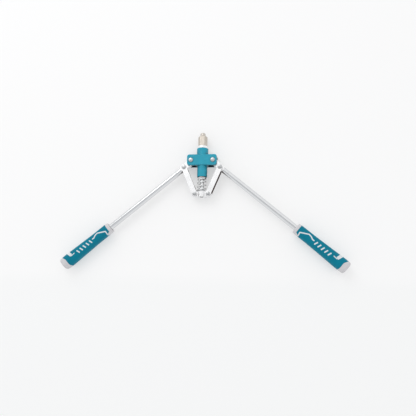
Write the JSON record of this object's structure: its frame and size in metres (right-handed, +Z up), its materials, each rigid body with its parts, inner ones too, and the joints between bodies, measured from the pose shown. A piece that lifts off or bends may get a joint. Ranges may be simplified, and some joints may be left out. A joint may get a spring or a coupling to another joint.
{
  "type": "two-handed lever riveter",
  "caption": "Long-arm lever riveter: hexagonal nose, painted head, channel links to a sprung pull rod, and chromed tube handles with moulded grips.",
  "frame": {"origin": "centre of the tool's bounding box, on the surface that it lies on", "axes": "+Y is the pull axis, out of the nose; +X is the right handle, so the two handles mirror about X = 0; +Z is up from the surface that the tool lies on, and the pin heads face that way"},
  "size_m": [0.6182, 0.3042, 0.0293],
  "materials": {
    "teal_enamel": "gloss baked enamel on a die casting",
    "satin_nickel": "satin nickel plate",
    "zinc_plate": "bright zinc plate",
    "pin_zinc": "zinc-plated turned steel",
    "sintered_bronze": "oil-filled sintered bronze",
    "spring_steel": "zinc-plated spring wire",
    "hardened_steel": "oiled hardened steel",
    "ground_steel": "ground steel",
    "chrome_plate": "bright chrome plate",
    "teal_rubber": "satin moulded thermoplastic rubber",
    "grey_nylon": "fine moulded texture"
  },
  "bodies": {
    "head": {"head_casting": "teal_enamel", "lock_nut": "zinc_plate", "nose_sleeve": "satin_nickel", "nosepiece": "satin_nickel", "guide_bush": "sintered_bronze", "spring_washer": "zinc_plate", "return_spring": "spring_steel", "left_pivot_pin": "pin_zinc", "right_pivot_pin": "pin_zinc", "left_pivot_clip": "spring_steel", "right_pivot_clip": "spring_steel"},
    "left_lever": {"left_lever_arm": "chrome_plate", "left_handle_tube": "chrome_plate", "left_tube_rivet": "chrome_plate", "left_grip_core": "grey_nylon", "left_grip_sleeve": "teal_rubber", "left_end_cap": "grey_nylon", "left_link_pin": "pin_zinc", "left_link_clip": "spring_steel"},
    "right_lever": {"right_lever_arm": "chrome_plate", "right_handle_tube": "chrome_plate", "right_tube_rivet": "chrome_plate", "right_grip_core": "grey_nylon", "right_grip_sleeve": "teal_rubber", "right_end_cap": "grey_nylon", "right_link_pin": "pin_zinc", "right_link_clip": "spring_steel"},
    "left_link": {"left_link": "zinc_plate", "left_yoke_pin": "pin_zinc", "left_yoke_clip": "spring_steel"},
    "right_link": {"right_link": "zinc_plate", "right_yoke_pin": "pin_zinc", "right_yoke_clip": "spring_steel"},
    "yoke": {"yoke": "zinc_plate", "pull_rod": "ground_steel", "jaw_case": "hardened_steel", "jaw_spring": "spring_steel", "rod_lock_nut": "zinc_plate"},
    "jaws": {"jaw_1": "hardened_steel", "jaw_2": "hardened_steel", "jaw_3": "hardened_steel", "jaw_pusher": "hardened_steel"}
  },
  "joints": [
    {"name": "left_lever_pivot", "type": "hinge", "parent": "head", "child": "left_lever", "pos_m": [-0.024, 0.08785, 0.01437], "axis": [0, 0, 1], "range_deg": [-12, 42]},
    {"name": "right_lever_pivot", "type": "hinge", "parent": "head", "child": "right_lever", "pos_m": [0.024, 0.08785, 0.01437], "axis": [0, 0, -1], "range_deg": [-12, 42]},
    {"name": "left_link_pivot", "type": "hinge", "parent": "left_lever", "child": "left_link", "pos_m": [-0.03963, 0.07322, 0.01437], "axis": [0, 0, -1], "range_deg": [-16, 55]},
    {"name": "right_link_pivot", "type": "hinge", "parent": "right_lever", "child": "right_link", "pos_m": [0.03963, 0.07322, 0.01437], "axis": [0, 0, 1], "range_deg": [-16, 55]},
    {"name": "yoke_slide", "type": "slide", "parent": "head", "child": "yoke", "axis": [0, -1, 0], "range_m": [-0.00352, 0.01226], "stiffness_N_per_m": 600, "deforming": ["return_spring"]},
    {"name": "jaw_slide", "type": "slide", "parent": "yoke", "child": "jaws", "axis": [0, -1, 0], "range_m": [0, 0.0022], "stiffness_N_per_m": 900, "springref_m": -0.002, "deforming": ["jaw_spring"]}
  ],
  "couplings": [
    {"joint": "right_lever_pivot", "follows": "left_lever_pivot", "ratio": 1},
    {"joint": "left_link_pivot", "follows": "left_lever_pivot", "ratio": 1.285},
    {"joint": "right_link_pivot", "follows": "left_lever_pivot", "ratio": 1.285},
    {"joint": "yoke_slide", "follows": "left_lever_pivot", "m_per_rad": 0.0167}
  ]
}
